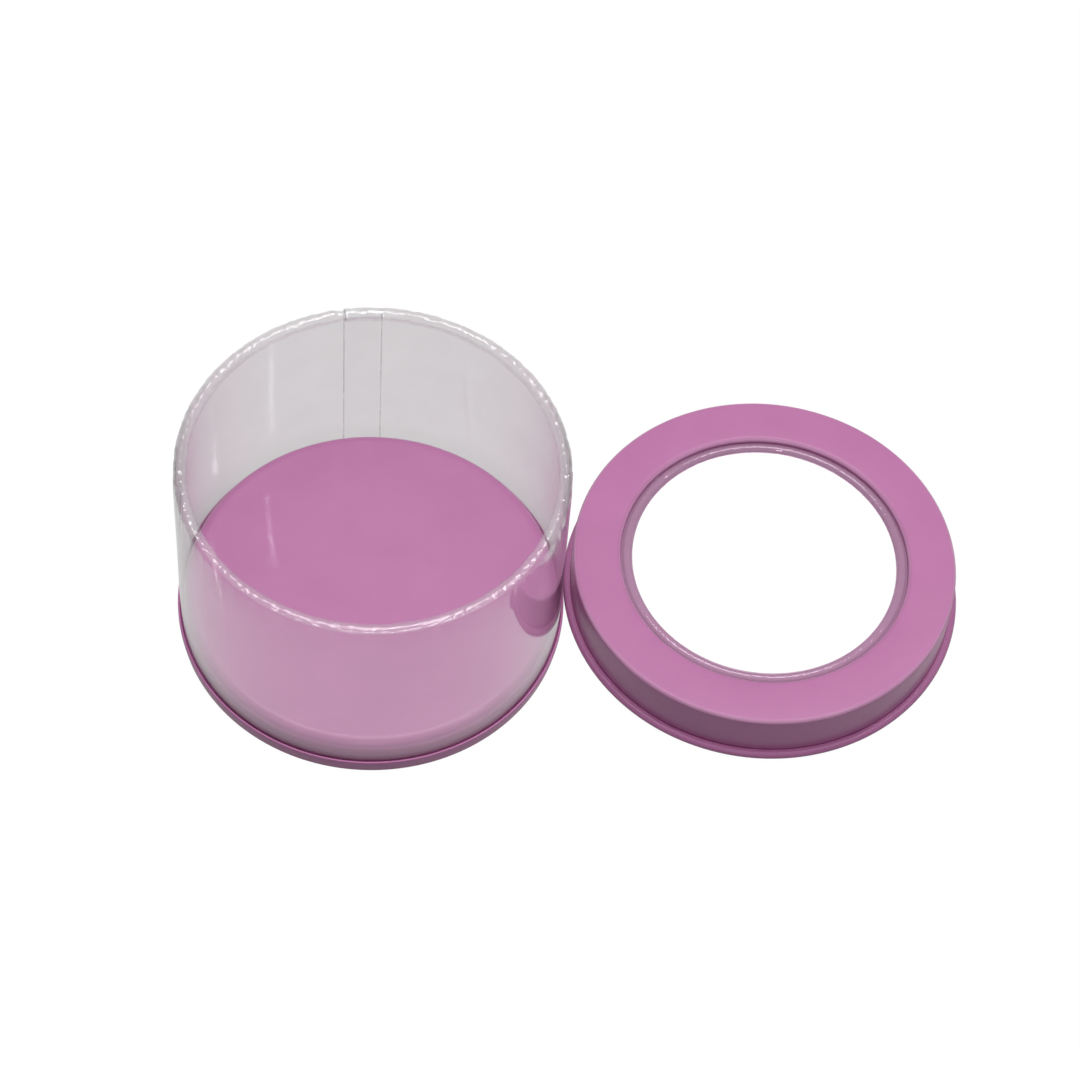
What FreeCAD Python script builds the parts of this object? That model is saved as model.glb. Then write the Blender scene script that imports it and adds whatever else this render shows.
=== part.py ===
import FreeCAD, Part
import math
import os

# A round gift box: a clear rolled wall crimped into a tinplate base, with its window lid lying beside it.
# Millimetres, +Z up, on a table at Z = 0. The origin is the middle of the ground that box and lid cover.
# The lid lies on the +X side of the box, and the wall's glued seam faces +Y.

# Clear wall: one plastic sheet, rolled into a tube, with its top edge rolled inwards
WALL_RADIUS = 49.2
BOX_HEIGHT = 64.5
SHEET_THICKNESS = 0.35
RIM_ROLL_RADIUS = 1.85
SEAM_ANGLE = 90.0
SEAM_LAP = 10.0
SEAM_STEP_RUN = 2.6
SEAM_EDGE_GAP = 0.3
SEAM_GLUE_THICKNESS = 0.1
SEAM_GLUE_MARGIN = 0.8

# Tinplate base: a raised floor, and a channel round it that grips the wall's lower edge
TIN_THICKNESS = 0.28
FLOOR_HEIGHT = 10.0
FLOOR_CORNER_RADIUS = 1.0
PLUG_CLEARANCE = 0.3
BAND_CLEARANCE = 0.1
WALL_SEAT_CLEARANCE = 0.1
BAND_HEIGHT = 4.4
HEM_DEPTH = 1.8

# Tinplate lid: a flat ring, a skirt that slips over the wall, and a curled lower edge
LID_HEIGHT = 15.4
LID_CLEARANCE = 0.25
LID_CORNER_RADIUS = 1.1
CURL_WIDTH = 1.9
CURL_RADIUS = 1.15
CURL_MOUTH = 0.3
LID_FACE_WIDTH = 12.53
HOLE_EDGE_RADIUS = 1.4
LID_GAP = 0.3

# Lid window: a clear disc with a raised ring that fits the lid's hole, glued under the lid's face
WINDOW_THICKNESS = 0.3
WINDOW_EDGE_CLEARANCE = 1.95
WINDOW_CLEARANCE = 0.25
WINDOW_SEAT_CLEARANCE = 0.1
RING_WIDTH = 2.5
RING_RISE = 1.25
RING_TAPER = 0.65
WINDOW_GLUE_MARGIN = 1.9
WINDOW_GLUE_WIDTH = 4.0

# Faces that meet, worked out from the sizes above
LAP_STEP = SHEET_THICKNESS + SEAM_GLUE_THICKNESS
LAP_INNER_RADIUS = WALL_RADIUS - LAP_STEP - SHEET_THICKNESS
WALL_FOOT = TIN_THICKNESS + WALL_SEAT_CLEARANCE
PLUG_RADIUS = LAP_INNER_RADIUS - PLUG_CLEARANCE
BAND_INNER_RADIUS = WALL_RADIUS + BAND_CLEARANCE
BAND_RADIUS = BAND_INNER_RADIUS + TIN_THICKNESS
BASE_RADIUS = BAND_RADIUS + TIN_THICKNESS
SKIRT_INNER_RADIUS = WALL_RADIUS + LID_CLEARANCE
SKIRT_RADIUS = SKIRT_INNER_RADIUS + TIN_THICKNESS
LID_RADIUS = SKIRT_RADIUS + CURL_WIDTH
HOLE_RADIUS = SKIRT_RADIUS - LID_FACE_WIDTH
HOLE_LIP_HEIGHT = LID_HEIGHT - HOLE_EDGE_RADIUS
WINDOW_HEIGHT = HOLE_LIP_HEIGHT - WINDOW_SEAT_CLEARANCE
WINDOW_RADIUS = SKIRT_INNER_RADIUS - WINDOW_EDGE_CLEARANCE
RING_OUTER_RADIUS = HOLE_RADIUS - WINDOW_CLEARANCE
WINDOW_GLUE_INNER_RADIUS = HOLE_RADIUS + HOLE_EDGE_RADIUS + WINDOW_GLUE_MARGIN

# Where the box and the lid stand on the table
HALF_SPREAD = BASE_RADIUS + LID_RADIUS + LID_GAP / 2
BOX_PLACE = FreeCAD.Vector(BASE_RADIUS - HALF_SPREAD, 0, 0)
LID_PLACE = FreeCAD.Vector(HALF_SPREAD - LID_RADIUS, 0, 0)

# A sheet's bends are drawn as folds of about this many degrees, which keeps the solids light
BEND_STEP = 45.0
CENTRE = FreeCAD.Vector(0, 0, 0)
UP = FreeCAD.Vector(0, 0, 1)


def arc_angle(length):
    """The angle in degrees of an arc of this length on the wall."""
    return math.degrees(length / WALL_RADIUS)


# The two edges of the wall's seam, and the step that carries its inner end under its outer end
OUTER_EDGE_ANGLE = SEAM_ANGLE + arc_angle(SEAM_LAP) / 2
INNER_EDGE_ANGLE = SEAM_ANGLE - arc_angle(SEAM_LAP) / 2
STEP_START_ANGLE = OUTER_EDGE_ANGLE + arc_angle(SEAM_EDGE_GAP)
STEP_END_ANGLE = STEP_START_ANGLE + arc_angle(SEAM_STEP_RUN)


def right_of(way):
    """The direction to the right of a way that runs in the section plane."""
    return FreeCAD.Vector(way.z, 0, -way.x)


def points_and_ways(corners):
    """The corners as points in the section plane, and the unit direction of each run between them."""
    points = [FreeCAD.Vector(radius, 0, height) for radius, height, bend in corners]
    ways = [(end - start).normalize() for start, end in zip(points, points[1:])]
    return points, ways


def other_face(corners, thickness):
    """The corners of a bent sheet's other face, which lies to the right of the way they run."""
    points, ways = points_and_ways(corners)
    first = points[0] + right_of(ways[0]) * thickness
    last = points[-1] + right_of(ways[-1]) * thickness
    moved = [(first.x, first.z, 0)]
    for point, way_in, way_out, corner in zip(points[1:], ways, ways[1:], corners[1:]):
        side_in, side_out = right_of(way_in), right_of(way_out)
        point = point + (side_in + side_out) * (thickness / (1 + side_in.dot(side_out)))
        bend = corner[2]
        if bend > 0:
            turns_right = side_in.dot(way_out) > 0
            bend = max(bend - thickness, 0) if turns_right else bend + thickness
        moved.append((point.x, point.z, bend))
    return moved + [(last.x, last.z, 0)]


def bent_line(corners):
    """Points along straight runs joined by bends, in flats that touch each bend's arc."""
    points, ways = points_and_ways(corners)
    line = points[:1]
    for point, way_in, way_out, corner in zip(points[1:], ways, ways[1:], corners[1:]):
        bend = corner[2]
        turn = way_in.getAngle(way_out)
        start = point - way_in * (bend * math.tan(turn / 2))
        centre = point + (way_out - way_in).normalize() * (bend / math.cos(turn / 2))
        folds = max(round(math.degrees(turn) / BEND_STEP), 1) if bend > 0 else 1
        half_fold = turn / folds / 2
        for fold in range(folds):
            angle = half_fold * (2 * fold + 1)
            reach = (start - centre) * math.cos(angle) + way_in * (bend * math.sin(angle))
            line.append(centre + reach * (1 / math.cos(half_fold)))
    return line + points[-1:]


def sheet_section(corners, thickness):
    """The section of a bent sheet, from the (radius, height, bend radius) corners of one face."""
    near = bent_line(corners)
    far = bent_line(other_face(corners, thickness))
    return Part.makePolygon(near + far[::-1] + near[:1])


def block_section(inner_radius, outer_radius, low, high):
    """A plain rectangular section."""
    corners = [(inner_radius, low), (outer_radius, low), (outer_radius, high), (inner_radius, high)]
    points = [FreeCAD.Vector(radius, 0, height) for radius, height in corners]
    return Part.makePolygon(points + points[:1])


def spun(section, from_angle=0.0, sweep=360.0):
    """The solid that a section makes as it turns about the upright axis."""
    face = Part.Face(section)
    face.rotate(CENTRE, UP, from_angle)
    return face.revolve(CENTRE, UP, sweep)


def wall_section(inset):
    """The rolled sheet's section, from the end of its rolled rim down to its foot."""
    outside = WALL_RADIUS - inset
    inside = WALL_RADIUS - 2 * RIM_ROLL_RADIUS + inset
    top = BOX_HEIGHT - inset
    under = BOX_HEIGHT - 2 * RIM_ROLL_RADIUS + inset
    roll = RIM_ROLL_RADIUS - inset
    corners = [
        (WALL_RADIUS - RIM_ROLL_RADIUS, under, 0),
        (inside, under, roll),
        (inside, top, roll),
        (outside, top, roll),
        (outside, WALL_FOOT, 0),
    ]
    return sheet_section(corners, SHEET_THICKNESS)


def clear_wall():
    """One sheet whose inner end steps in and laps under its outer end, rim and all."""
    around = spun(wall_section(0), STEP_END_ANGLE, 360 + OUTER_EDGE_ANGLE - STEP_END_ANGLE)
    under_lap = spun(wall_section(LAP_STEP), INNER_EDGE_ANGLE, STEP_START_ANGLE - INNER_EDGE_ANGLE)
    step_from = wall_section(LAP_STEP)
    step_from.rotate(CENTRE, UP, STEP_START_ANGLE)
    step_to = wall_section(0)
    step_to.rotate(CENTRE, UP, STEP_END_ANGLE)
    step = Part.makeLoft([step_from, step_to], True, True)
    return around.fuse([step, under_lap])


def seam_adhesive():
    """The clear glue between the two laps of the wall, on its straight part."""
    outer_radius = WALL_RADIUS - SHEET_THICKNESS
    low = WALL_FOOT + SEAM_GLUE_MARGIN
    high = BOX_HEIGHT - RIM_ROLL_RADIUS - SEAM_GLUE_MARGIN
    section = block_section(outer_radius - SEAM_GLUE_THICKNESS, outer_radius, low, high)
    margin = arc_angle(SEAM_GLUE_MARGIN)
    sweep = OUTER_EDGE_ANGLE - INNER_EDGE_ANGLE - 2 * margin
    return spun(section, INNER_EDGE_ANGLE + margin, sweep)


def tin_base():
    """One pressing: the raised floor, the plug inside the wall, the channel, and its band hemmed flat."""
    corners = [
        (0, FLOOR_HEIGHT, 0),
        (PLUG_RADIUS, FLOOR_HEIGHT, FLOOR_CORNER_RADIUS),
        (PLUG_RADIUS, TIN_THICKNESS, 0),
        (BAND_INNER_RADIUS, TIN_THICKNESS, 0),
        (BAND_INNER_RADIUS, BAND_HEIGHT, 0),
    ]
    pan = spun(sheet_section(corners, TIN_THICKNESS))
    hem = spun(block_section(BAND_RADIUS, BASE_RADIUS, BAND_HEIGHT - HEM_DEPTH, BAND_HEIGHT))
    return pan.fuse(hem).removeSplitter()


def tin_lid():
    """One pressing: the hole's turned-down edge, the flat ring, the skirt and its curled edge."""
    curl_height = 2 * CURL_RADIUS
    corners = [
        (HOLE_RADIUS, HOLE_LIP_HEIGHT, 0),
        (HOLE_RADIUS, LID_HEIGHT, HOLE_EDGE_RADIUS),
        (SKIRT_RADIUS, LID_HEIGHT, LID_CORNER_RADIUS),
        (SKIRT_RADIUS, curl_height, 0),
        (LID_RADIUS, curl_height, CURL_RADIUS),
        (LID_RADIUS, 0, CURL_RADIUS),
        (SKIRT_RADIUS + CURL_MOUTH, 0, 0),
    ]
    return spun(sheet_section(corners, TIN_THICKNESS))


def lid_window():
    """A flat disc with a raised ring, tapered as a mould needs, that stands in the lid's hole."""
    ring_inner_radius = RING_OUTER_RADIUS - RING_WIDTH
    ring_height = WINDOW_HEIGHT + RING_RISE
    corners = [
        (0, WINDOW_HEIGHT, 0),
        (ring_inner_radius, WINDOW_HEIGHT, 0),
        (ring_inner_radius + RING_TAPER, ring_height, 0),
        (RING_OUTER_RADIUS - RING_TAPER, ring_height, 0),
        (RING_OUTER_RADIUS, WINDOW_HEIGHT, 0),
        (WINDOW_RADIUS, WINDOW_HEIGHT, 0),
    ]
    return spun(sheet_section(corners, WINDOW_THICKNESS))


def window_adhesive():
    """The ring of glue that holds the window's flange under the lid's face."""
    outer_radius = WINDOW_GLUE_INNER_RADIUS + WINDOW_GLUE_WIDTH
    top = LID_HEIGHT - TIN_THICKNESS
    return spun(block_section(WINDOW_GLUE_INNER_RADIUS, outer_radius, WINDOW_HEIGHT, top))


NODES = [
    ("clear_wall", clear_wall, BOX_PLACE),
    ("seam_adhesive", seam_adhesive, BOX_PLACE),
    ("tin_base", tin_base, BOX_PLACE),
    ("tin_lid", tin_lid, LID_PLACE),
    ("lid_window", lid_window, LID_PLACE),
    ("window_adhesive", window_adhesive, LID_PLACE),
]

os.makedirs("parts", exist_ok=True)
for name, make, place in NODES:
    shape = make()
    shape.translate(place)
    shape.exportStep(f"parts/{name}.step")
    print(name, "valid" if shape.isValid() else "NOT VALID", len(shape.Solids), round(shape.Volume, 2))
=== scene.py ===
import math

import bmesh
import bpy
from mathutils import Matrix, Vector, noise


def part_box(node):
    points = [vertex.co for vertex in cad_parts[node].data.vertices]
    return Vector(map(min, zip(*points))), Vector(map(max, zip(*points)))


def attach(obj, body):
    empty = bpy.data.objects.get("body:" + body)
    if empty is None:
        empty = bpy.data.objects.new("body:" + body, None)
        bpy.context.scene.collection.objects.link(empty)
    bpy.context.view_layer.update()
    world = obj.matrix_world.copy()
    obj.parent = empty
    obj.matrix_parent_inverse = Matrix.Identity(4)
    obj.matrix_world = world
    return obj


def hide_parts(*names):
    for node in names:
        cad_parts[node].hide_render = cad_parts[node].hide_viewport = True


# A round gift box with a clear rolled wall and a pink tin base, and its pink window lid lying beside it.
# Sections are drawn in millimetres about each piece's own axis. The meshes are in metres.

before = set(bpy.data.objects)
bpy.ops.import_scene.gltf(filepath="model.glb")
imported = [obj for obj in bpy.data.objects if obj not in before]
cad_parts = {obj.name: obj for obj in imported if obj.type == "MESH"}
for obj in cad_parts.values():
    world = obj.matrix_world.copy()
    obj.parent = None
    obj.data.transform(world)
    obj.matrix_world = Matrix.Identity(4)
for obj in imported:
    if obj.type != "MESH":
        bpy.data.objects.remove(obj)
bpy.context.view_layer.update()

MM = 0.001


def axis_of(node_name):
    """The point on the table under the middle of a round node, in millimetres."""
    low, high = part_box(node_name)
    middle = (low + high) / (2 * MM)
    return Vector((middle.x, middle.y, 0))


def radius_of(node_name):
    """The largest radius of a round node, in millimetres."""
    low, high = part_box(node_name)
    return (high.x - low.x) / (2 * MM)


def heights_of(node_name):
    """The lowest and highest points of a node, in millimetres."""
    low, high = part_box(node_name)
    return low.z / MM, high.z / MM


# Places and main sizes, read from the frame
BOX_AXIS = axis_of("tin_base")
LID_AXIS = axis_of("tin_lid")
BASE_RADIUS = radius_of("tin_base")
LID_RADIUS = radius_of("tin_lid")
WINDOW_RADIUS = radius_of("lid_window")
WINDOW_GLUE_RADIUS = radius_of("window_adhesive")
FLOOR_HEIGHT = heights_of("tin_base")[1]
LID_HEIGHT = heights_of("tin_lid")[1]
WALL_FOOT, BOX_HEIGHT = heights_of("clear_wall")
WINDOW_UNDERSIDE, RING_TOP = heights_of("lid_window")
WINDOW_GLUE_LOW, WINDOW_GLUE_HIGH = heights_of("window_adhesive")
SEAM_GLUE_LOW, SEAM_GLUE_HIGH = heights_of("seam_adhesive")

# Tinplate pressings
TIN_THICKNESS = 0.27
FOLD_RADIUS = 0.28
BAND_HEIGHT = 4.4
HEM_DEPTH = 1.8
CHANNEL_BEND = 0.3
FLOOR_BEND = 3.0
CURL_WIDTH = 1.9
CURL_RADIUS = 1.15
CURL_MOUTH = 0.3
CURL_ROOT_BEND = 0.12
CREASE_WIDTH = 0.45
PAINTED_HIGHLIGHT_WIDTH = 0.75
LID_BEND = 1.1
LID_FACE_WIDTH = 12.53
HOLE_BEND = 1.4

# Clear wall and its lapped seam
SHEET_THICKNESS = 0.35
BAND_CLEARANCE = 0.1
PLUG_CLEARANCE = 0.3
ROLL_RADIUS = 1.85
SEAM_ANGLE = 90.0
SEAM_LAP = 10.0
SEAM_STEP_RUN = 2.6
SEAM_EDGE_GAP = 0.3
SEAM_GLUE_THICKNESS = 0.1
SEAM_GLUE_MARGIN = 0.8

# Window and its glue
WINDOW_THICKNESS = 0.3
WINDOW_CLEARANCE = 0.25
RING_WIDTH = 2.5
RING_BEND = 1.1
RING_FOOT_BEND = 0.14
WINDOW_GLUE_WIDTH = 4.0

# Unevenness of the made pieces
RIPPLE_DEPTH = 0.42
RIPPLE_SIZE = 1.5
RIPPLE_FADE = 3.0
BULGE_DEPTH = 0.12
BULGE_SIZE = 24.0
KINK_DEPTH = 0.3
KINK_WIDTH = 0.8
BACK_KINK_TOP = (58.4, 51.0)
BACK_KINK_FOOT = (54.4, 14.0)
FRONT_KINK_TOP = (282.5, 57.0)
FRONT_KINK_FOOT = (293.6, 18.0)
RING_RIPPLE_DEPTH = 0.07
RING_RIPPLE_SIZE = 1.3
GLUE_EDGE_WANDER = 0.45
GLUE_EDGE_SIZE = 5.0

# Faces that meet, worked out from the sizes above
BAND_INNER_RADIUS = BASE_RADIUS - 2 * FOLD_RADIUS
WALL_RADIUS = BAND_INNER_RADIUS - BAND_CLEARANCE
LAP_STEP = SHEET_THICKNESS + SEAM_GLUE_THICKNESS
PLUG_RADIUS = WALL_RADIUS - LAP_STEP - SHEET_THICKNESS - PLUG_CLEARANCE
ROLL_CENTRE_RADIUS = WALL_RADIUS - ROLL_RADIUS
ROLL_CENTRE_HEIGHT = BOX_HEIGHT - ROLL_RADIUS
SKIRT_RADIUS = LID_RADIUS - CURL_WIDTH
HOLE_RADIUS = SKIRT_RADIUS - LID_FACE_WIDTH
WINDOW_TOP = WINDOW_UNDERSIDE + WINDOW_THICKNESS
RING_OUTER_RADIUS = HOLE_RADIUS - WINDOW_CLEARANCE
RING_INNER_RADIUS = RING_OUTER_RADIUS - RING_WIDTH

# Fineness of the meshes
ARC_STEP = 11.25
SEGMENTS = 360
RING_SEGMENTS = 720
WALL_STEP = 0.4
WALL_ROWS = 12
SHARP_ANGLE = math.radians(38)
STRAIGHT_TURN = math.radians(1)
GLUE_ROWS_PER_WAVE = 4

# Places of the second and third materials in each piece's list
CUT_SLOT = 1
GLUED_SLOT = 2
SATIN_SLOT = 1
PLUG_SLOT = 2
PAINTED_HIGHLIGHT_SLOT = 1
CREASE_SHADE_SLOT = 2
PANE_SLOT = 1


def arc_angle(length):
    """The angle in degrees of an arc of this length on the wall."""
    return math.degrees(length / WALL_RADIUS)


OUTER_EDGE_ANGLE = SEAM_ANGLE + arc_angle(SEAM_LAP) / 2
INNER_EDGE_ANGLE = SEAM_ANGLE - arc_angle(SEAM_LAP) / 2
STEP_START_ANGLE = OUTER_EDGE_ANGLE + arc_angle(SEAM_EDGE_GAP)
STEP_END_ANGLE = STEP_START_ANGLE + arc_angle(SEAM_STEP_RUN)


# Sections

def right_of(way):
    """The direction to the right of a way that runs in the section plane."""
    return Vector((way.y, -way.x))


def points_and_ways(corners):
    """The corners as points in the section plane, and the unit direction of each run between them."""
    points = [Vector((radius, height)) for radius, height, bend in corners]
    ways = [(end - start).normalized() for start, end in zip(points, points[1:])]
    return points, ways


def other_face(corners, thickness):
    """The corners of a bent sheet's other face, which lies to the right of the way they run."""
    points, ways = points_and_ways(corners)
    first = points[0] + right_of(ways[0]) * thickness
    last = points[-1] + right_of(ways[-1]) * thickness
    moved = [(*first, 0)]
    for point, way_in, way_out, corner in zip(points[1:], ways, ways[1:], corners[1:]):
        side_in, side_out = right_of(way_in), right_of(way_out)
        point = point + (side_in + side_out) * (thickness / (1 + side_in.dot(side_out)))
        bend = corner[2]
        if bend > 0:
            turns_right = side_in.dot(way_out) > 0
            bend = max(bend - thickness, 0) if turns_right else bend + thickness
        moved.append((*point, bend))
    return moved + [(*last, 0)]


def bent_line(corners):
    """Points along straight runs joined by round bends. Both faces of a sheet get the same count."""
    points, ways = points_and_ways(corners)
    line = points[:1]
    for point, way_in, way_out, corner in zip(points[1:], ways, ways[1:], corners[1:]):
        bend = corner[2]
        turn = way_in.angle(way_out)
        if turn < STRAIGHT_TURN:
            line.append(point)
            continue
        start = point - way_in * (bend * math.tan(turn / 2))
        centre = point + (way_out - way_in).normalized() * (bend / math.cos(turn / 2))
        steps = math.ceil(math.degrees(turn) / ARC_STEP)
        for step in range(steps + 1):
            angle = turn * step / steps
            line.append(centre + (start - centre) * math.cos(angle) + way_in * (bend * math.sin(angle)))
    return line + points[-1:]


def sheet_section(corners, thickness):
    """The outline of a bent sheet, from the (radius, height, bend radius) corners of one face."""
    return bent_line(corners) + bent_line(other_face(corners, thickness))[::-1]


# Meshes

def spun(section, closed, segments=SEGMENTS, uneven=None):
    """The points and faces of a section that turns right round the upright axis."""
    points = []
    rows = []
    for radius, height in section:
        if radius == 0:
            rows.append([len(points)] * segments)
            points.append(Vector((0, 0, height)))
            continue
        rows.append(list(range(len(points), len(points) + segments)))
        for segment in range(segments):
            angle = 2 * math.pi * segment / segments
            place = uneven(radius, height, angle) if uneven else (radius, height)
            points.append(Vector((place[0] * math.cos(angle), place[0] * math.sin(angle), place[1])))
    next_rows = rows[1:] + rows[:1] if closed else rows[1:]
    faces = []
    for row, next_row in zip(rows, next_rows):
        for here in range(segments):
            there = (here + 1) % segments
            corners = (row[here], row[there], next_row[there], next_row[here])
            face = tuple(dict.fromkeys(corners))
            if len(face) > 2:
                faces.append(face)
    return points, faces


def swept(sections, angles):
    """The points and faces of a sheet's section that changes as it turns, capped at both ends."""
    count = len(sections[0])
    points = []
    faces = []
    for section, degrees in zip(sections, angles):
        angle = math.radians(degrees)
        for radius, height in section:
            points.append(Vector((radius * math.cos(angle), radius * math.sin(angle), height)))
    for ring in range(len(sections) - 1):
        low, high = ring * count, (ring + 1) * count
        for here in range(count):
            there = (here + 1) % count
            faces.append((low + here, low + there, high + there, high + here))
    for low in (0, (len(sections) - 1) * count):
        for here in range(count // 2 - 1):
            faces.append((low + here, low + here + 1, low + count - 2 - here, low + count - 1 - here))
    return points, faces


def make_piece(name, shape, axis, materials):
    """A mesh object from points in millimetres about an upright axis."""
    points, faces = shape
    mesh = bpy.data.meshes.new(name)
    mesh.from_pydata([(axis + point) * MM for point in points], [], faces)
    work = bmesh.new()
    work.from_mesh(mesh)
    bmesh.ops.recalc_face_normals(work, faces=work.faces)
    work.to_mesh(mesh)
    work.free()
    mesh.shade_smooth()
    mesh.set_sharp_from_angle(angle=SHARP_ANGLE)
    for material in materials:
        mesh.materials.append(material)
    piece = bpy.data.objects.new(name, mesh)
    bpy.context.scene.collection.objects.link(piece)
    return piece


def seat(piece, body, node_name):
    """Puts a piece on the body it rides on, and hides the frame's node that it stands for."""
    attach(piece, body)
    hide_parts(node_name)


def face_radius(face, axis):
    """A face's distance from an upright axis, in millimetres."""
    middle = face.center / MM - axis
    return math.hypot(middle.x, middle.y)


def face_turn(face, axis):
    """A face's angle about an upright axis, in degrees."""
    middle = face.center / MM - axis
    return math.degrees(math.atan2(middle.y, middle.x)) % 360


def smooth_step(value):
    """0 below 0, 1 above 1, and an even ramp between."""
    value = min(max(value, 0), 1)
    return value * value * (3 - 2 * value)


def outward(angle):
    """The level direction away from the axis at an angle."""
    return Vector((math.cos(angle), math.sin(angle), 0))


def soft_noise(sample):
    """Smooth noise between 0 and 1."""
    return 0.5 + 0.5 * noise.noise(sample)


# Clear wall

def wall_bulge(angle, height):
    """How far the thin wall stands out of round, which fades to nothing at its foot and rim."""
    share = math.sin(math.pi * smooth_step((height - WALL_FOOT) / (BOX_HEIGHT - WALL_FOOT)))
    place = outward(angle) * WALL_RADIUS + Vector((0, 0, height))
    return BULGE_DEPTH * share * noise.noise(place / BULGE_SIZE)


def wall_kink(angle, height):
    """How far the wall is dented by the two faint kinks that handling left in it."""
    dent = 0
    for top, foot in ((BACK_KINK_TOP, BACK_KINK_FOOT), (FRONT_KINK_TOP, FRONT_KINK_FOOT)):
        share = (top[1] - height) / (top[1] - foot[1])
        if 0 < share < 1:
            turn = math.degrees(angle) - top[0] - (foot[0] - top[0]) * share
            away = WALL_RADIUS * math.radians((turn + 180) % 360 - 180)
            dent -= KINK_DEPTH * math.sin(math.pi * share) * math.exp(-(away / KINK_WIDTH) ** 2)
    return dent


def uneven_wall(radius, height, angle):
    """A point of the wall with its slight bulges and kinks and the ripples of its heat-rolled rim."""
    radius += wall_bulge(angle, height) + wall_kink(angle, height)
    across, above = radius - ROLL_CENTRE_RADIUS, height - ROLL_CENTRE_HEIGHT
    outside = across > 0 and above < 0
    share = smooth_step(1 + above / RIPPLE_FADE) if outside else 1
    way = Vector((1, 0)) if outside else Vector((across, above)).normalized()
    around = outward(angle)
    sample = around * (ROLL_CENTRE_RADIUS / RIPPLE_SIZE) + around * way.x + Vector((0, 0, way.y))
    depth = -RIPPLE_DEPTH * share * soft_noise(sample)
    return radius + way.x * depth, height + way.y * depth


def wall_section(inset):
    """The rolled sheet's section, from the end of its rolled rim down to its foot."""
    outside = WALL_RADIUS - inset
    inside = ROLL_CENTRE_RADIUS - ROLL_RADIUS + inset
    top = BOX_HEIGHT - inset
    under = BOX_HEIGHT - 2 * ROLL_RADIUS + inset
    roll = ROLL_RADIUS - inset
    corners = [
        (ROLL_CENTRE_RADIUS, under, 0),
        (inside, under, roll),
        (inside, top, roll),
        (outside, top, roll),
    ]
    run = ROLL_CENTRE_HEIGHT - WALL_FOOT
    for row in range(1, WALL_ROWS + 1):
        corners.append((outside, ROLL_CENTRE_HEIGHT - run * row / WALL_ROWS, 0))
    return sheet_section(corners, SHEET_THICKNESS)


def rolled_wall(materials):
    """One sheet whose inner end steps in and laps under its outer end, rim and all."""
    steps = round((360 + OUTER_EDGE_ANGLE - INNER_EDGE_ANGLE) / WALL_STEP)
    turn = (360 + OUTER_EDGE_ANGLE - INNER_EDGE_ANGLE) / steps
    angles = [INNER_EDGE_ANGLE + turn * step for step in range(steps + 1)]
    sections = []
    for degrees in angles:
        ramp = (degrees - STEP_START_ANGLE) / (STEP_END_ANGLE - STEP_START_ANGLE)
        plain = wall_section(LAP_STEP * (1 - smooth_step(ramp)))
        angle = math.radians(degrees)
        sections.append([uneven_wall(radius, height, angle) for radius, height in plain])
    piece = make_piece("rolled_wall", swept(sections, angles), BOX_AXIS, materials)
    around_faces = len(sections[0])
    cap_faces = around_faces - 2
    end_faces = piece.data.polygons[:around_faces] + piece.data.polygons[-cap_faces - around_faces:]
    glue_radius = WALL_RADIUS - SHEET_THICKNESS - SEAM_GLUE_THICKNESS / 2
    for face in piece.data.polygons[:-cap_faces]:
        in_lap = INNER_EDGE_ANGLE < face_turn(face, BOX_AXIS) < OUTER_EDGE_ANGLE
        if in_lap and abs(face_radius(face, BOX_AXIS) - glue_radius) < SHEET_THICKNESS / 2:
            face.material_index = GLUED_SLOT
    # The cut ends get a grey see-through material: painted shade lines along the seam's edges.
    for face in end_faces:
        face.material_index = CUT_SLOT
    return piece


def seam_glue(material):
    """The thin strip of glue in the lap, with the uneven edges of a poured line."""
    rows = round((SEAM_GLUE_HIGH - SEAM_GLUE_LOW) / GLUE_EDGE_SIZE * GLUE_ROWS_PER_WAVE)
    outer = WALL_RADIUS - SHEET_THICKNESS
    inner = outer - SEAM_GLUE_THICKNESS
    corners = ((-1, inner), (1, inner), (1, outer), (-1, outer))
    count = len(corners)
    points = []
    faces = []
    for row in range(rows + 1):
        height = SEAM_GLUE_LOW + (SEAM_GLUE_HIGH - SEAM_GLUE_LOW) * row / rows
        for side, radius in corners:
            wander = soft_noise(Vector((side * GLUE_EDGE_SIZE, 0, height)) / GLUE_EDGE_SIZE)
            margin = SEAM_GLUE_MARGIN + GLUE_EDGE_WANDER * wander
            angle = math.radians(SEAM_ANGLE + side * arc_angle(SEAM_LAP / 2 - margin))
            reach = radius + wall_bulge(angle, height)
            points.append(Vector((reach * math.cos(angle), reach * math.sin(angle), height)))
    for row in range(rows):
        low, high = row * count, (row + 1) * count
        for here in range(count):
            there = (here + 1) % count
            faces.append((low + here, low + there, high + there, high + here))
    faces += [tuple(range(count)), tuple(range(rows * count, (rows + 1) * count))]
    return make_piece("seam_glue", (points, faces), BOX_AXIS, [material])


# Tin base and lid

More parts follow.
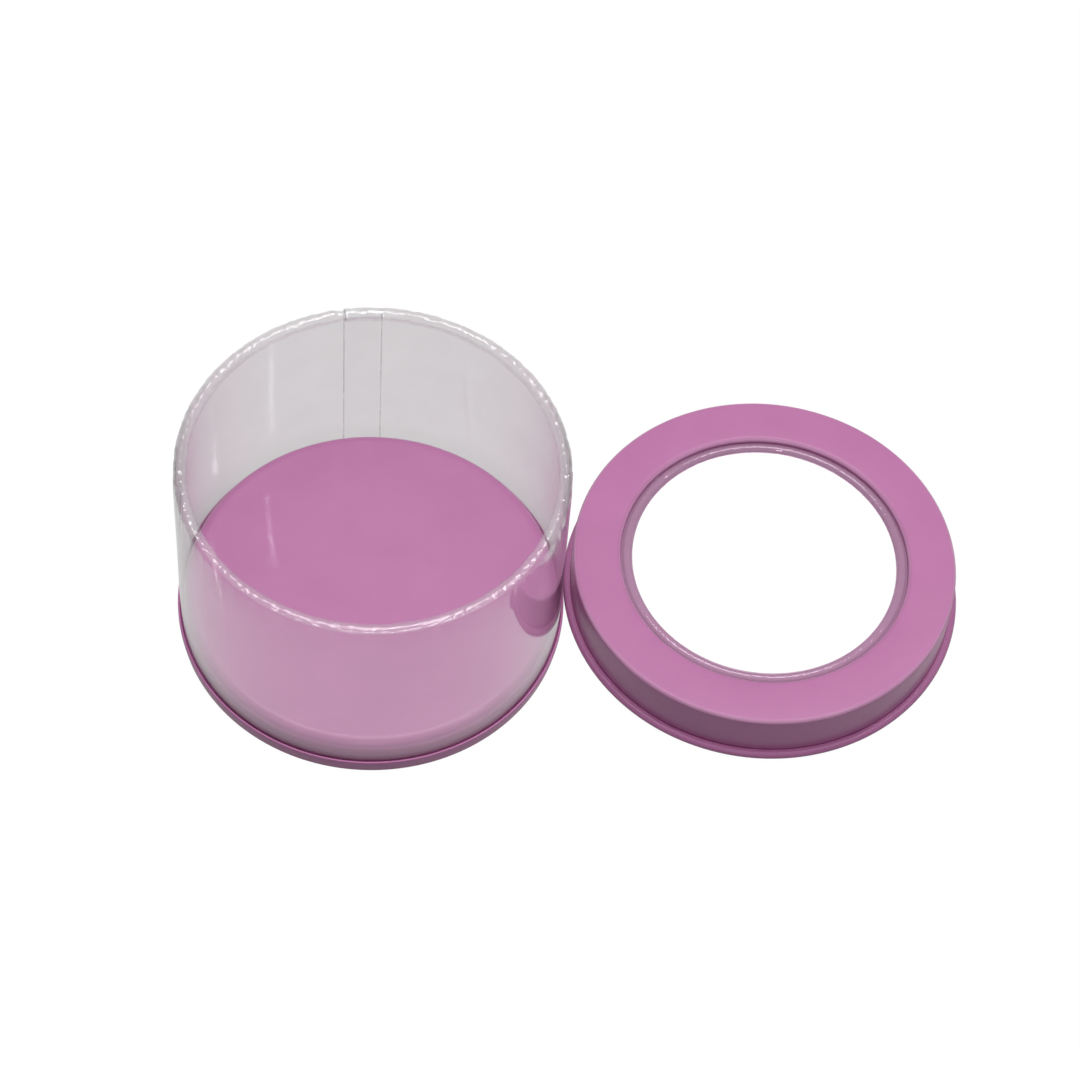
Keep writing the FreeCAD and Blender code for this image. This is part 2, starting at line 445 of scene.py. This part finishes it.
def base_pressing(materials):
    """One pressing: the glossy raised floor, the plug, the channel for the wall, and the hemmed band."""
    corners = [
        (0, FLOOR_HEIGHT, 0),
        (PLUG_RADIUS, FLOOR_HEIGHT, FLOOR_BEND),
        (PLUG_RADIUS, FOLD_RADIUS, CHANNEL_BEND),
        (BAND_INNER_RADIUS, FOLD_RADIUS, CHANNEL_BEND),
        (BAND_INNER_RADIUS, BAND_HEIGHT, FOLD_RADIUS),
        (BASE_RADIUS, BAND_HEIGHT, FOLD_RADIUS),
        (BASE_RADIUS, BAND_HEIGHT - HEM_DEPTH, 0),
    ]
    section = sheet_section(corners, TIN_THICKNESS)
    piece = make_piece("base_pressing", spun(section, closed=False), BOX_AXIS, materials)
    for face in piece.data.polygons:
        radius = face_radius(face, BOX_AXIS)
        if radius > PLUG_RADIUS - FLOOR_BEND:
            face.material_index = SATIN_SLOT
        # The steep side of the plug gets a brighter enamel: painted light, as if more light reached it
        # inside the box.
        on_side = PLUG_RADIUS - FLOOR_BEND / 2 < radius < PLUG_RADIUS
        if on_side and face.center.z / MM < FLOOR_HEIGHT - FLOOR_BEND / 2:
            face.material_index = PLUG_SLOT
    return piece


def lid_pressing(materials):
    """One pressing: the hole's turned-down edge, the flat ring, the skirt and its curled edge.

    Its bends get a paler enamel as a painted highlight, and a dark enamel is painted as shade where the
    skirt meets the curl.
    """
    curl_height = 2 * CURL_RADIUS
    corners = [
        (HOLE_RADIUS, LID_HEIGHT - HOLE_BEND, 0),
        (HOLE_RADIUS, LID_HEIGHT, HOLE_BEND),
        (SKIRT_RADIUS, LID_HEIGHT, LID_BEND),
        (SKIRT_RADIUS, curl_height + CREASE_WIDTH, 0),
        (SKIRT_RADIUS, curl_height, CURL_ROOT_BEND),
        (LID_RADIUS, curl_height, CURL_RADIUS),
        (LID_RADIUS, 0, CURL_RADIUS),
        (SKIRT_RADIUS + CURL_MOUTH, 0, 0),
    ]
    section = sheet_section(corners, TIN_THICKNESS)
    piece = make_piece("lid_pressing", spun(section, closed=True), LID_AXIS, materials)
    for face in piece.data.polygons:
        radius = face_radius(face, LID_AXIS)
        height = face.center.z / MM
        # The lid's top corner and the hole's turned-down edge get a paler enamel: painted highlight along
        # the bends.
        outer_bend = radius > SKIRT_RADIUS - PAINTED_HIGHLIGHT_WIDTH and height > LID_HEIGHT - PAINTED_HIGHLIGHT_WIDTH
        hole_bend = radius < HOLE_RADIUS + PAINTED_HIGHLIGHT_WIDTH and height > LID_HEIGHT - PAINTED_HIGHLIGHT_WIDTH
        if outer_bend or hole_bend:
            face.material_index = PAINTED_HIGHLIGHT_SLOT
        # Faces at the root of the curl get dark enamel: painted shade in the crease.
        near_root = abs(radius - SKIRT_RADIUS) < CREASE_WIDTH / 2
        if near_root and abs(height - curl_height - CREASE_WIDTH / 2) < CREASE_WIDTH:
            face.material_index = CREASE_SHADE_SLOT
    return piece


# Window

def uneven_ring(radius, height, angle):
    """A point of the window with the slight ripples of its formed ring."""
    inside = RING_INNER_RADIUS < radius < RING_OUTER_RADIUS
    share = smooth_step((height - WINDOW_TOP) / (RING_TOP - WINDOW_TOP)) if inside else 0
    ripple = soft_noise(outward(angle) * (radius / RING_RIPPLE_SIZE))
    return radius, height - RING_RIPPLE_DEPTH * share * ripple


def window_disc(materials):
    """A clear formed disc with a half-round raised ring that stands in the lid's hole."""
    corners = [
        (0, WINDOW_TOP, 0),
        (RING_INNER_RADIUS, WINDOW_TOP, RING_FOOT_BEND),
        (RING_INNER_RADIUS, RING_TOP, RING_BEND),
        (RING_OUTER_RADIUS, RING_TOP, RING_BEND),
        (RING_OUTER_RADIUS, WINDOW_TOP, RING_FOOT_BEND),
        (WINDOW_RADIUS, WINDOW_TOP, 0),
    ]
    section = sheet_section(corners, WINDOW_THICKNESS)
    shape = spun(section, closed=False, segments=RING_SEGMENTS, uneven=uneven_ring)
    piece = make_piece("window_disc", shape, LID_AXIS, materials)
    for face in piece.data.polygons:
        if face_radius(face, LID_AXIS) < RING_INNER_RADIUS - WINDOW_THICKNESS:
            face.material_index = PANE_SLOT
    return piece


def window_glue(material):
    """The ring of glue between the window's flange and the lid, with uneven edges."""
    inner = WINDOW_GLUE_RADIUS - WINDOW_GLUE_WIDTH
    section = [
        (inner, WINDOW_GLUE_LOW),
        (WINDOW_GLUE_RADIUS, WINDOW_GLUE_LOW),
        (WINDOW_GLUE_RADIUS, WINDOW_GLUE_HIGH),
        (inner, WINDOW_GLUE_HIGH),
    ]

    def wandering(radius, height, angle):
        wander = soft_noise(outward(angle) * (radius / GLUE_EDGE_SIZE))
        inward = -1 if radius > inner else 1
        return radius + inward * GLUE_EDGE_WANDER * wander, height

    return make_piece("window_glue", spun(section, closed=True, uneven=wandering), LID_AXIS, [material])


# Materials

WHITE = (1, 1, 1, 1)
NOISE_LOW = 0.3
NOISE_HIGH = 0.7
PLAIN_DETAIL = 2.0

# Enamel
PINK_DEEP = (0.455, 0.16, 0.348, 1)
PINK_PALE = (0.48, 0.173, 0.367, 1)
# Painted highlight: a paler enamel for the lid's bends.
PAINTED_HIGHLIGHT_DEEP = (0.5, 0.225, 0.4, 1)
PAINTED_HIGHLIGHT_PALE = (0.54, 0.265, 0.44, 1)
# Painted light: a brighter enamel for the plug's side.
PLUG_PAINTED_LIGHT_DEEP = (0.62, 0.215, 0.475, 1)
PLUG_PAINTED_LIGHT_PALE = (0.66, 0.24, 0.5, 1)
# Painted shade: a dark enamel for the crease where the lid's skirt meets its curl.
CREASE_PAINTED_SHADE_DEEP = (0.27, 0.045, 0.165, 1)
CREASE_PAINTED_SHADE_PALE = (0.33, 0.07, 0.21, 1)
GLOSS_LACQUER = 0.7
GLOSS_ROUGHNESS = 0.07
CREASE_SHADE_LACQUER = 0.0
SATIN_LACQUER = 0.2
SATIN_ROUGHNESS = 0.22
ENAMEL_ROUGHNESS = (0.38, 0.46)
ENAMEL_SPECULAR = 0.22
ENAMEL_TINT_SIZE = 14.0
ENAMEL_TINT_DETAIL = 3.0
ENAMEL_GRAIN_SIZE = 2.2
ENAMEL_GRAIN_DETAIL = 4.0
ENAMEL_WAVE_SIZE = 9.0
ENAMEL_WAVE_DEPTH = 0.02
ENAMEL_PEEL_SIZE = 1.4
ENAMEL_PEEL_DEPTH = 0.0016

# Clear sheet of the wall, and of the window's ring. The ring's pink, darker tint and pink diffuse share
# are painted reflection of the pink tin and painted shade under the lid.
FILM_TINT = (0.988, 0.988, 0.988, 1)
FILM_HAZE_COLOUR = (0.88, 0.87, 0.88, 1)
FILM_HAZE = (0.03, 0.05)
RING_PAINTED_TINT = (0.78, 0.58, 0.72, 1)
RING_PAINTED_REFLECTION_COLOUR = (0.55, 0.3, 0.48, 1)
RING_PAINTED_REFLECTION_SHARE = (0.1, 0.2)
FILM_PATCH_SIZE = 12.0
FILM_PATCH_DETAIL = 4.0
FILM_WAVE_SIZE = 7.0
FILM_WAVE_DEPTH = 0.004
FACE_ON_GLOSS = 0.04
GLOSS_POWER = 5.0
EVEN_BLEND = 0.5
FILM_EDGE_POWER = 6.0
FILM_EDGE_TINT = (0.9, 0.86, 0.88, 1)
LIGHT_PASS = 0.92
RIM_PIT_SIZE = 1.2
RIM_PIT_DEPTH = 0.1
FILM_ROUGHNESS = 0.045

# The sheet's cut ends, grey as painted shade lines along the seam, its faces that glue wets, the window's
# clean pane, and the clear set glue
EDGE_SHADE_COLOUR = (0.44, 0.43, 0.44, 1)
EDGE_SHADE_SHARE = (0.1, 0.24)
EDGE_SHADE_SIZE = 3.0
GLUED_HAZE = (0.0, 0.004)
GLUED_HAZE_SIZE = 4.0
PANE_ROUGHNESS = (0.0, 0.03)
PANE_ROUGHNESS_SIZE = 20.0
PANE_IOR = 1.5
GLUE_COLOUR = (0.84, 0.82, 0.8, 1)
GLUE_HAZE = (0.0, 0.012)
GLUE_HAZE_SIZE = 5.0
GLUE_HAZE_DETAIL = 3.0


def new_material(name):
    """An empty node material and its tree."""
    material = bpy.data.materials.new(name)
    material.use_nodes = True
    material.node_tree.nodes.clear()
    return material, material.node_tree


def add(tree, kind, inputs=None, **settings):
    """A new node with its settings. Each input is a value, or a socket to link from."""
    node = tree.nodes.new(kind)
    for name, value in settings.items():
        setattr(node, name, value)
    for name, value in (inputs or {}).items():
        if isinstance(value, bpy.types.NodeSocket):
            tree.links.new(value, node.inputs[name])
        else:
            node.inputs[name].default_value = value
    return node


def finish_material(tree, shader):
    """Links a shader to the tree's output."""
    add(tree, "ShaderNodeOutputMaterial", {"Surface": shader})


def object_place(tree):
    """The surface point in the frame's own metres."""
    return add(tree, "ShaderNodeTexCoord").outputs["Object"]


def cloud(tree, place, feature, detail=PLAIN_DETAIL):
    """Soft noise whose features have about this size in millimetres."""
    inputs = {"Vector": place, "Scale": 1 / (feature * MM), "Detail": detail}
    return add(tree, "ShaderNodeTexNoise", inputs).outputs["Fac"]


def spread(tree, value, low, high):
    """A noise value mapped on to a range."""
    inputs = {"Value": value, "From Min": NOISE_LOW, "From Max": NOISE_HIGH, "To Min": low, "To Max": high}
    return add(tree, "ShaderNodeMapRange", inputs).outputs["Result"]


def bump(tree, height, depth, normal=None):
    """A bump of this depth in millimetres."""
    inputs = {"Height": height, "Strength": 1.0, "Distance": depth * MM}
    if normal:
        inputs["Normal"] = normal
    return add(tree, "ShaderNodeBump", inputs).outputs["Normal"]


def calculate(tree, operation, *values):
    """A math node's result."""
    node = add(tree, "ShaderNodeMath", operation=operation)
    for index, value in enumerate(values):
        if isinstance(value, bpy.types.NodeSocket):
            tree.links.new(value, node.inputs[index])
        else:
            node.inputs[index].default_value = value
    return node.outputs[0]


def mixed(tree, share, first, second):
    """Two shaders mixed: a share of the second over the first."""
    node = add(tree, "ShaderNodeMixShader", {"Fac": share})
    tree.links.new(first, node.inputs[1])
    tree.links.new(second, node.inputs[2])
    return node.outputs[0]


def pink_enamel(name, deep, pale, lacquer, lacquer_roughness):
    """Pink enamel on tinplate: a share of gloss lacquer over a slightly uneven, slightly clouded coat."""
    material, tree = new_material(name)
    place = object_place(tree)
    clouds = cloud(tree, place, ENAMEL_TINT_SIZE, ENAMEL_TINT_DETAIL)
    tint = add(tree, "ShaderNodeValToRGB", {"Fac": spread(tree, clouds, 0, 1)})
    tint.color_ramp.elements[0].color = deep
    tint.color_ramp.elements[1].color = pale
    grain = cloud(tree, place, ENAMEL_GRAIN_SIZE, ENAMEL_GRAIN_DETAIL)
    waves = bump(tree, cloud(tree, place, ENAMEL_WAVE_SIZE), ENAMEL_WAVE_DEPTH)
    peel = bump(tree, cloud(tree, place, ENAMEL_PEEL_SIZE), ENAMEL_PEEL_DEPTH, waves)
    shader = add(tree, "ShaderNodeBsdfPrincipled", {
        "Base Color": tint.outputs["Color"],
        "Roughness": spread(tree, grain, *ENAMEL_ROUGHNESS),
        "Specular IOR Level": ENAMEL_SPECULAR,
        "Normal": peel,
        "Coat Weight": lacquer,
        "Coat Roughness": lacquer_roughness,
        "Coat Normal": peel,
    })
    finish_material(tree, shader.outputs["BSDF"])
    return material


def tilt(tree, power):
    """A face's tilt to the ray, from 0 face on to 1 at grazing, raised to a power."""
    facing = add(tree, "ShaderNodeLayerWeight", {"Blend": EVEN_BLEND}).outputs["Facing"]
    return calculate(tree, "POWER", facing, power)


def light_rays(tree):
    """1 for rays that carry light to other faces, which are shadow and diffuse rays, and 0 for others."""
    path = add(tree, "ShaderNodeLightPath").outputs
    return calculate(tree, "MAXIMUM", path["Is Shadow Ray"], path["Is Diffuse Ray"])


def sheet_gloss(tree):
    """How much a clear face reflects: little face on, all at grazing."""
    steep = tilt(tree, GLOSS_POWER)
    return calculate(tree, "MULTIPLY_ADD", steep, 1 - FACE_ON_GLOSS, FACE_ON_GLOSS)


def film_surface(tree, place):
    """The sheet's surface: faint waves all over, and small pits on the wall's rolled rim."""
    waves = bump(tree, cloud(tree, place, FILM_WAVE_SIZE), FILM_WAVE_DEPTH)
    height = add(tree, "ShaderNodeSeparateXYZ", {"Vector": place}).outputs["Z"]
    low, high = (BOX_HEIGHT - 2 * ROLL_RADIUS) * MM, ROLL_CENTRE_HEIGHT * MM
    rolled = add(tree, "ShaderNodeMapRange", {"Value": height, "From Min": low, "From Max": high})
    pits = spread(tree, cloud(tree, place, RIM_PIT_SIZE), -0.5, 0.5)
    pits = calculate(tree, "MULTIPLY", pits, rolled.outputs["Result"])
    return bump(tree, pits, RIM_PIT_DEPTH, waves)


def clear_film(name, tint, diffuse_colour, diffuse_range):
    """Clear rigid sheet: see-through, with a share of diffuse colour in patches, a glossy face and darker
    edges. On the wall the diffuse share is haze from handling; on the window's ring it is painted
    reflection and painted shade.
    """
    material, tree = new_material(name)
    place = object_place(tree)
    depth = add(tree, "ShaderNodeValToRGB", {"Fac": tilt(tree, FILM_EDGE_POWER)})
    depth.color_ramp.elements[0].color = tint
    depth.color_ramp.elements[1].color = [part * share for part, share in zip(tint, FILM_EDGE_TINT)]
    through = add(tree, "ShaderNodeBsdfTransparent", {"Color": depth.outputs["Color"]}).outputs[0]
    diffuse_part = add(tree, "ShaderNodeBsdfDiffuse", {"Color": diffuse_colour}).outputs[0]
    patches = cloud(tree, place, FILM_PATCH_SIZE, FILM_PATCH_DETAIL)
    hazed = mixed(tree, spread(tree, patches, *diffuse_range), through, diffuse_part)
    surface = film_surface(tree, place)
    gloss = add(tree, "ShaderNodeBsdfGlossy", {"Roughness": FILM_ROUGHNESS, "Normal": surface}).outputs[0]
    seen = mixed(tree, sheet_gloss(tree), hazed, gloss)
    clear = add(tree, "ShaderNodeBsdfTransparent", {"Color": tint}).outputs[0]
    straight = calculate(tree, "MULTIPLY", light_rays(tree), LIGHT_PASS)
    finish_material(tree, mixed(tree, straight, seen, clear))
    return material


def patchy_clear(name, tint, diffuse_colour, diffuse_range, patch_size, patch_detail=PLAIN_DETAIL):
    """A see-through face with faint cloudy patches and no gloss."""
    material, tree = new_material(name)
    place = object_place(tree)
    through = add(tree, "ShaderNodeBsdfTransparent", {"Color": tint}).outputs[0]
    diffuse_part = add(tree, "ShaderNodeBsdfDiffuse", {"Color": diffuse_colour}).outputs[0]
    share = spread(tree, cloud(tree, place, patch_size, patch_detail), *diffuse_range)
    finish_material(tree, mixed(tree, share, through, diffuse_part))
    return material


def clear_pane():
    """The window's flat pane: clean clear sheet, which shadow and bounce light pass straight."""
    material, tree = new_material("clear_pane")
    place = object_place(tree)
    glass = add(tree, "ShaderNodeBsdfPrincipled", {
        "Base Color": FILM_TINT,
        "Roughness": spread(tree, cloud(tree, place, PANE_ROUGHNESS_SIZE), *PANE_ROUGHNESS),
        "IOR": PANE_IOR,
        "Transmission Weight": 1.0,
    }).outputs["BSDF"]
    through = add(tree, "ShaderNodeBsdfTransparent", {"Color": FILM_TINT}).outputs[0]
    finish_material(tree, mixed(tree, light_rays(tree), glass, through))
    return material


# Stage: a pale floor and world that show white to the camera, and soft light

FLOOR_SIZE = 8.0
FLOOR_DROP = 0.00005
FLOOR_COLOUR = (0.34, 0.34, 0.34, 1)
WHITE_STRENGTH = 1.06
DIRECT_SHARE = 0.93
GLASS_SHARE = 0.95
MIRROR_SHARE = 0.8
FILM_SHARE = 0.52
AMBIENT = 0.06

# Lamps
LAMP_TARGET = (0, 0, 0.02)
OVERHEAD_PLACE = (0, 0.18, 1.3)
OVERHEAD_SIZE = (0.95, 0.6)
OVERHEAD_RADIANCE = 7.8
FRONT_PLACE = (-0.12, -0.95, 0.87)
FRONT_SIZE = (0.06, 0.06)
FRONT_RADIANCE = 130
RIGHT_FRONT_PLACE = (0.48, -0.25, 0.94)
RIGHT_FRONT_SIZE = (0.025, 0.085)
RIGHT_BACK_PLACE = (0.48, 0.25, 0.94)
RIGHT_BACK_SIZE = (0.024, 0.05)
RIGHT_RADIANCE = 220


def white_share(tree):
    """How white the stage looks to a ray: most to the camera and glass, less in gloss and through film."""
    path = add(tree, "ShaderNodeLightPath").outputs
    bare = calculate(tree, "LESS_THAN", path["Transparent Depth"], 0.5)
    direct = calculate(tree, "MULTIPLY_ADD", bare, DIRECT_SHARE - FILM_SHARE, FILM_SHARE)
    straight = calculate(tree, "MULTIPLY", path["Is Camera Ray"], direct)
    glass = calculate(tree, "MULTIPLY", path["Is Transmission Ray"], GLASS_SHARE)
    gloss = calculate(tree, "MULTIPLY", path["Is Glossy Ray"], MIRROR_SHARE)
    return calculate(tree, "MAXIMUM", straight, calculate(tree, "MAXIMUM", glass, gloss))


def pale_floor():
    """A pale table that shows as plain white with a faint shadow."""
    material, tree = new_material("pale_floor")
    grey = add(tree, "ShaderNodeBsdfDiffuse", {"Color": FLOOR_COLOUR}).outputs[0]
    white = add(tree, "ShaderNodeEmission", {"Color": WHITE, "Strength": WHITE_STRENGTH}).outputs[0]
    finish_material(tree, mixed(tree, white_share(tree), grey, white))
    half = FLOOR_SIZE / 2
    corners = [(-half, -half), (half, -half), (half, half), (-half, half)]
    mesh = bpy.data.meshes.new("floor")
    mesh.from_pydata([(x, y, -FLOOR_DROP) for x, y in corners], [], [(0, 1, 2, 3)])
    mesh.materials.append(material)
    floor = bpy.data.objects.new("floor", mesh)
    bpy.context.scene.collection.objects.link(floor)


def pale_world():
    """A world that is white to the camera and gives a little light."""
    world = bpy.data.worlds.new("pale_world")
    world.use_nodes = True
    tree = world.node_tree
    tree.nodes.clear()
    seen = calculate(tree, "GREATER_THAN", white_share(tree), 0.0)
    lit = add(tree, "ShaderNodeMapRange", {"Value": seen, "To Min": AMBIENT, "To Max": 1.0})
    sky = add(tree, "ShaderNodeBackground", {"Color": WHITE, "Strength": lit.outputs["Result"]})
    add(tree, "ShaderNodeOutputWorld", {"Surface": sky.outputs[0]})
    bpy.context.scene.world = world


def softbox(name, place, size, radiance):
    """A rectangular lamp of this brightness that faces the part."""
    width, height = size
    light = bpy.data.lights.new(name, "AREA")
    light.shape = "RECTANGLE"
    light.size = width
    light.size_y = height
    light.energy = radiance * math.pi * width * height
    lamp = bpy.data.objects.new(name, light)
    lamp.location = place
    lamp.rotation_euler = (Vector(LAMP_TARGET) - Vector(place)).to_track_quat("-Z", "Y").to_euler()
    bpy.context.scene.collection.objects.link(lamp)


def lights():
    """A large softbox overhead, and small lamps that make the clear rim sparkle."""
    softbox("overhead_softbox", OVERHEAD_PLACE, OVERHEAD_SIZE, OVERHEAD_RADIANCE)
    softbox("front_lamp", FRONT_PLACE, FRONT_SIZE, FRONT_RADIANCE)
    softbox("right_front_lamp", RIGHT_FRONT_PLACE, RIGHT_FRONT_SIZE, RIGHT_RADIANCE)
    softbox("right_back_lamp", RIGHT_BACK_PLACE, RIGHT_BACK_SIZE, RIGHT_RADIANCE)


# Camera

IMAGE_PIXELS = 1080
FOCAL_PIXELS = 3616.8
SENSOR_WIDTH = 36.0
CAMERA_PLACE = Vector((-84.98, -506.78, 792.43))
CAMERA_AZIMUTH = math.radians(8.525)
CAMERA_ELEVATION = math.radians(56.172)
CAMERA_ROLL = math.radians(4.875)


def camera():
    """The camera at the photograph's place and angle."""
    ahead = Vector((
        math.sin(CAMERA_AZIMUTH) * math.cos(CAMERA_ELEVATION),
        math.cos(CAMERA_AZIMUTH) * math.cos(CAMERA_ELEVATION),
        -math.sin(CAMERA_ELEVATION),
    ))
    level = Vector((math.cos(CAMERA_AZIMUTH), -math.sin(CAMERA_AZIMUTH), 0))
    upward = level.cross(ahead)
    right = level * math.cos(CAMERA_ROLL) + upward * math.sin(CAMERA_ROLL)
    up = upward * math.cos(CAMERA_ROLL) - level * math.sin(CAMERA_ROLL)
    lens = bpy.data.cameras.new("camera")
    lens.sensor_width = SENSOR_WIDTH
    lens.lens = FOCAL_PIXELS / IMAGE_PIXELS * SENSOR_WIDTH
    view = bpy.data.objects.new("camera", lens)
    turn = Matrix((right, up, -ahead)).transposed().to_4x4()
    view.matrix_world = Matrix.Translation(CAMERA_PLACE * MM) @ turn
    bpy.context.scene.collection.objects.link(view)
    bpy.context.scene.camera = view


# The whole scene

FILM_LAYERS = 32

gloss_pink = pink_enamel("gloss_enamel", PINK_DEEP, PINK_PALE, GLOSS_LACQUER, GLOSS_ROUGHNESS)
satin_pink = pink_enamel("satin_enamel", PINK_DEEP, PINK_PALE, SATIN_LACQUER, SATIN_ROUGHNESS)
# Paler enamel on the lid's bends: painted highlight.
painted_highlight_pink = pink_enamel("painted_highlight_enamel", PAINTED_HIGHLIGHT_DEEP, PAINTED_HIGHLIGHT_PALE, SATIN_LACQUER, SATIN_ROUGHNESS)
# Brighter enamel on the plug's side: painted light.
plug_painted_light = pink_enamel("plug_painted_light_enamel", PLUG_PAINTED_LIGHT_DEEP, PLUG_PAINTED_LIGHT_PALE, SATIN_LACQUER, SATIN_ROUGHNESS)
# Dark enamel in the lid's crease: painted shade.
crease_painted_shade = pink_enamel("crease_painted_shade_enamel", CREASE_PAINTED_SHADE_DEEP, CREASE_PAINTED_SHADE_PALE, CREASE_SHADE_LACQUER, SATIN_ROUGHNESS)
film = clear_film("clear_film", FILM_TINT, FILM_HAZE_COLOUR, FILM_HAZE)
# The ring's pink, darker tint and pink diffuse share: painted reflection of the pink tin and painted
# shade.
ring_painted_reflection = clear_film("ring_painted_reflection", RING_PAINTED_TINT, RING_PAINTED_REFLECTION_COLOUR, RING_PAINTED_REFLECTION_SHARE)
# Grey on the wall's cut ends: painted shade lines at the seam.
cut_edge_shade = patchy_clear("cut_edge_shade", FILM_TINT, EDGE_SHADE_COLOUR, EDGE_SHADE_SHARE, EDGE_SHADE_SIZE)
glued_face = patchy_clear("glued_face", WHITE, FILM_HAZE_COLOUR, GLUED_HAZE, GLUED_HAZE_SIZE)
glue = patchy_clear("set_glue", WHITE, GLUE_COLOUR, GLUE_HAZE, GLUE_HAZE_SIZE, GLUE_HAZE_DETAIL)
seat(rolled_wall([film, cut_edge_shade, glued_face]), "box", "clear_wall")
seat(seam_glue(glue), "box", "seam_adhesive")
seat(base_pressing([gloss_pink, satin_pink, plug_painted_light]), "box", "tin_base")
seat(lid_pressing([satin_pink, painted_highlight_pink, crease_painted_shade]), "lid", "tin_lid")
seat(window_disc([ring_painted_reflection, clear_pane()]), "lid", "lid_window")
seat(window_glue(glue), "lid", "window_adhesive")
pale_floor()
pale_world()
lights()
camera()
bpy.context.scene.view_settings.view_transform = "Standard"
bpy.context.scene.cycles.transparent_max_bounces = FILM_LAYERS

bpy.context.view_layer.update()
